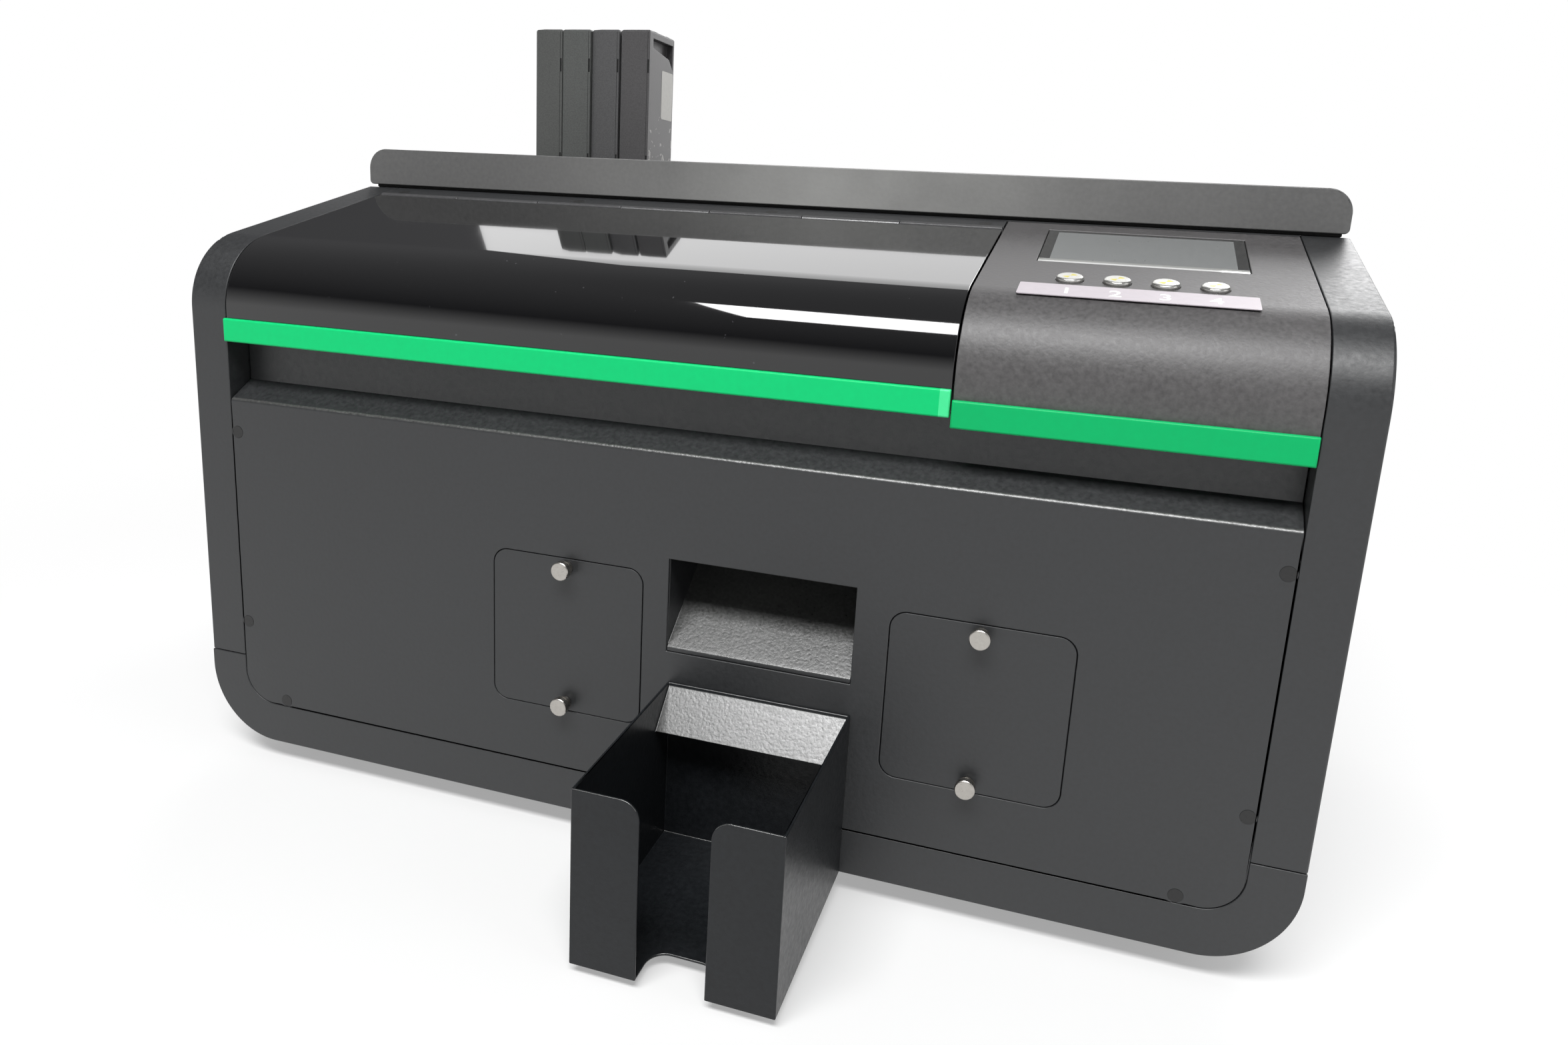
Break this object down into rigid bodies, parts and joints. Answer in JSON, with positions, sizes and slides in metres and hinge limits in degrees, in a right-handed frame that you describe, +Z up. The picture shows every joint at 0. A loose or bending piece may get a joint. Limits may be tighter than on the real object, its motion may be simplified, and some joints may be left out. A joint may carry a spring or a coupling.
{
  "type": "id card printer",
  "caption": "Desktop card printer: a folded black steel case with a hinged glossy lid, green pull strips, a button console, access doors, ink cartridges and a card bin",
  "frame": {"origin": "middle of the bounding box at table level, under the feet", "axes": "+Z up, the front panel faces -Y, +X to the viewer's right as seen from the front"},
  "size_m": [0.568, 0.4416, 0.437],
  "materials": {
    "casing": "fine-grained satin black powder coat",
    "lid_gloss": "mirror-gloss black acrylic",
    "green_strip": "satin green paint",
    "screen_glass": "dark unlit display window",
    "button_steel": "turned domed steel",
    "thumb_steel": "satin stainless steel",
    "black_screw": "black oxide steel",
    "foot_rubber": "matt black rubber",
    "zinc_sheet": "zinc-plated sheet",
    "bright_steel": "ground steel",
    "roller_rubber": "black rubber on a steel shaft",
    "belt_rubber": "ribbed black rubber",
    "alloy": "plain aluminium",
    "carriage_plastic": "moulded black plastic",
    "cartridge_plastic": "moulded charcoal plastic, slightly scuffed",
    "dock_plastic": "moulded black plastic",
    "inlet_plastic": "moulded black plastic",
    "circuit_board": "green circuit board"
  },
  "bodies": {
    "root": {"base_tray": "casing", "left_cheek": "casing", "right_cheek": "casing", "front_panel": "casing", "recess_wall": "casing", "output_chute": "casing", "hinge_strip": "casing", "console_panel": "casing", "rear_hood": "casing", "top_plate": "casing", "rear_panel": "casing", "console_strip": "green_strip", "screen_glass": "screen_glass", "casing_screws": "black_screw", "rubber_feet": "foot_rubber", "left_frame": "zinc_sheet", "right_frame": "zinc_sheet", "card_track": "zinc_sheet", "card_magazine": "zinc_sheet", "guide_rail": "zinc_sheet", "guide_shaft": "bright_steel", "carriage_belt": "belt_rubber", "feed_belt": "belt_rubber", "power_supply": "alloy", "carriage_motor": "alloy", "feed_motor": "alloy", "capping_station": "carriage_plastic", "ink_dock": "dock_plastic", "power_inlet": "inlet_plastic", "console_boards": "circuit_board", "main_board": "circuit_board"},
    "lid": {"lid": "lid_gloss", "lid_pull_strip": "green_strip"},
    "door_left": {"access_door_left": "casing"},
    "door_right": {"access_door_right": "casing"},
    "thumbscrew_left_top": {"thumbscrew_left_top": "thumb_steel"},
    "thumbscrew_left_bottom": {"thumbscrew_left_bottom": "thumb_steel"},
    "thumbscrew_right_top": {"thumbscrew_right_top": "thumb_steel"},
    "thumbscrew_right_bottom": {"thumbscrew_right_bottom": "thumb_steel"},
    "card_bin": {"card_bin": "casing"},
    "button_1": {"button_1": "button_steel"},
    "button_2": {"button_2": "button_steel"},
    "button_3": {"button_3": "button_steel"},
    "button_4": {"button_4": "button_steel"},
    "hopper_flap": {"hopper_flap": "casing"},
    "ink_cartridge_1": {"ink_cartridge_1": "cartridge_plastic"},
    "ink_cartridge_2": {"ink_cartridge_2": "cartridge_plastic"},
    "ink_cartridge_3": {"ink_cartridge_3": "cartridge_plastic"},
    "ink_cartridge_4": {"ink_cartridge_4": "cartridge_plastic"},
    "carriage": {"carriage": "carriage_plastic", "printhead": "carriage_plastic"},
    "carriage_motor_pulley": {"carriage_motor_pulley": "alloy"},
    "carriage_idler_pulley": {"carriage_idler_pulley": "alloy"},
    "exit_roller": {"exit_roller": "roller_rubber"},
    "feed_roller": {"feed_roller": "roller_rubber"},
    "pick_roller": {"pick_roller": "roller_rubber"},
    "feed_motor_pulley": {"feed_motor_pulley": "alloy"},
    "exit_pinch_roller": {"exit_pinch_roller": "bright_steel"},
    "feed_pinch_roller": {"feed_pinch_roller": "bright_steel"},
    "power_switch": {"power_switch": "inlet_plastic"}
  },
  "joints": [
    {"name": "lid_hinge", "type": "hinge", "parent": "root", "child": "lid", "pos_m": [-0.071, 0.00395, 0.31447], "axis": [-1, 0, 0], "range_deg": [0, 75]},
    {"name": "door_left_off", "type": "slide", "parent": "root", "child": "door_left", "axis": [0, -1, 0], "range_m": [0, 0.06]},
    {"name": "thumbscrew_left_top_turn", "type": "hinge", "parent": "door_left", "child": "thumbscrew_left_top", "pos_m": [-0.0614, -0.12425, 0.1422], "axis": [0, -1, 0], "continuous": true},
    {"name": "thumbscrew_left_bottom_turn", "type": "hinge", "parent": "door_left", "child": "thumbscrew_left_bottom", "pos_m": [-0.0614, -0.12425, 0.0712], "axis": [0, -1, 0], "continuous": true},
    {"name": "door_right_off", "type": "slide", "parent": "root", "child": "door_right", "axis": [0, -1, 0], "range_m": [0, 0.06]},
    {"name": "thumbscrew_right_top_turn", "type": "hinge", "parent": "door_right", "child": "thumbscrew_right_top", "pos_m": [0.1411, -0.12425, 0.1422], "axis": [0, -1, 0], "continuous": true},
    {"name": "thumbscrew_right_bottom_turn", "type": "hinge", "parent": "door_right", "child": "thumbscrew_right_bottom", "pos_m": [0.1411, -0.12425, 0.0712], "axis": [0, -1, 0], "continuous": true},
    {"name": "card_bin_unhook", "type": "slide", "parent": "root", "child": "card_bin", "axis": [0, 0, 1], "range_m": [0, 0.005]},
    {"name": "button_1_press", "type": "slide", "parent": "root", "child": "button_1", "axis": [0, 0.2487, -0.9686], "range_m": [0, 0.0015], "stiffness_N_per_m": 500, "springref_m": -0.001},
    {"name": "button_2_press", "type": "slide", "parent": "root", "child": "button_2", "axis": [0, 0.2487, -0.9686], "range_m": [0, 0.0015], "stiffness_N_per_m": 500, "springref_m": -0.001},
    {"name": "button_3_press", "type": "slide", "parent": "root", "child": "button_3", "axis": [0, 0.2487, -0.9686], "range_m": [0, 0.0015], "stiffness_N_per_m": 500, "springref_m": -0.001},
    {"name": "button_4_press", "type": "slide", "parent": "root", "child": "button_4", "axis": [0, 0.2487, -0.9686], "range_m": [0, 0.0015], "stiffness_N_per_m": 500, "springref_m": -0.001},
    {"name": "hopper_flap_hinge", "type": "hinge", "parent": "root", "child": "hopper_flap", "pos_m": [0.0383, 0.14635, 0.3461], "axis": [-1, 0, 0], "range_deg": [0, 110]},
    {"name": "ink_cartridge_1_lift", "type": "slide", "parent": "root", "child": "ink_cartridge_1", "axis": [0, 0, 1], "range_m": [0, 0.1]},
    {"name": "ink_cartridge_2_lift", "type": "slide", "parent": "root", "child": "ink_cartridge_2", "axis": [0, 0, 1], "range_m": [0, 0.1]},
    {"name": "ink_cartridge_3_lift", "type": "slide", "parent": "root", "child": "ink_cartridge_3", "axis": [0, 0, 1], "range_m": [0, 0.1]},
    {"name": "ink_cartridge_4_lift", "type": "slide", "parent": "root", "child": "ink_cartridge_4", "axis": [0, 0, 1], "range_m": [0, 0.1]},
    {"name": "carriage_travel", "type": "slide", "parent": "root", "child": "carriage", "axis": [1, 0, 0], "range_m": [0, 0.3]},
    {"name": "carriage_motor_pulley_turn", "type": "hinge", "parent": "root", "child": "carriage_motor_pulley", "pos_m": [-0.212, 0.04275, 0.2165], "axis": [0, 1, 0], "continuous": true},
    {"name": "carriage_idler_pulley_turn", "type": "hinge", "parent": "root", "child": "carriage_idler_pulley", "pos_m": [0.212, 0.04275, 0.2165], "axis": [0, 1, 0], "continuous": true},
    {"name": "exit_roller_turn", "type": "hinge", "parent": "root", "child": "exit_roller", "pos_m": [0.0383, -0.06525, 0.1444], "axis": [1, 0, 0], "continuous": true},
    {"name": "feed_roller_turn", "type": "hinge", "parent": "root", "child": "feed_roller", "pos_m": [0.0383, 0.06575, 0.1444], "axis": [1, 0, 0], "continuous": true},
    {"name": "pick_roller_turn", "type": "hinge", "parent": "root", "child": "pick_roller", "pos_m": [0.0383, 0.10775, 0.1444], "axis": [1, 0, 0], "continuous": true},
    {"name": "feed_motor_pulley_turn", "type": "hinge", "parent": "root", "child": "feed_motor_pulley", "pos_m": [0.0953, 0.16375, 0.1444], "axis": [1, 0, 0], "continuous": true},
    {"name": "exit_pinch_roller_turn", "type": "hinge", "parent": "root", "child": "exit_pinch_roller", "pos_m": [0.0383, -0.06525, 0.1584], "axis": [1, 0, 0], "continuous": true},
    {"name": "feed_pinch_roller_turn", "type": "hinge", "parent": "root", "child": "feed_pinch_roller", "pos_m": [0.0383, 0.06575, 0.1584], "axis": [1, 0, 0], "continuous": true},
    {"name": "power_switch_rock", "type": "hinge", "parent": "root", "child": "power_switch", "pos_m": [0.205, 0.21735, 0.1105], "axis": [1, 0, 0], "range_deg": [0, 16]}
  ],
  "couplings": [
    {"joint": "carriage_motor_pulley_turn", "follows": "carriage_travel", "rad_per_m": -114.94},
    {"joint": "carriage_idler_pulley_turn", "follows": "carriage_travel", "rad_per_m": -114.94},
    {"joint": "exit_roller_turn", "follows": "feed_roller_turn", "ratio": 1},
    {"joint": "pick_roller_turn", "follows": "feed_roller_turn", "ratio": 1},
    {"joint": "feed_motor_pulley_turn", "follows": "feed_roller_turn", "ratio": 1},
    {"joint": "exit_pinch_roller_turn", "follows": "feed_roller_turn", "ratio": -1.6},
    {"joint": "feed_pinch_roller_turn", "follows": "feed_roller_turn", "ratio": -1.6}
  ]
}
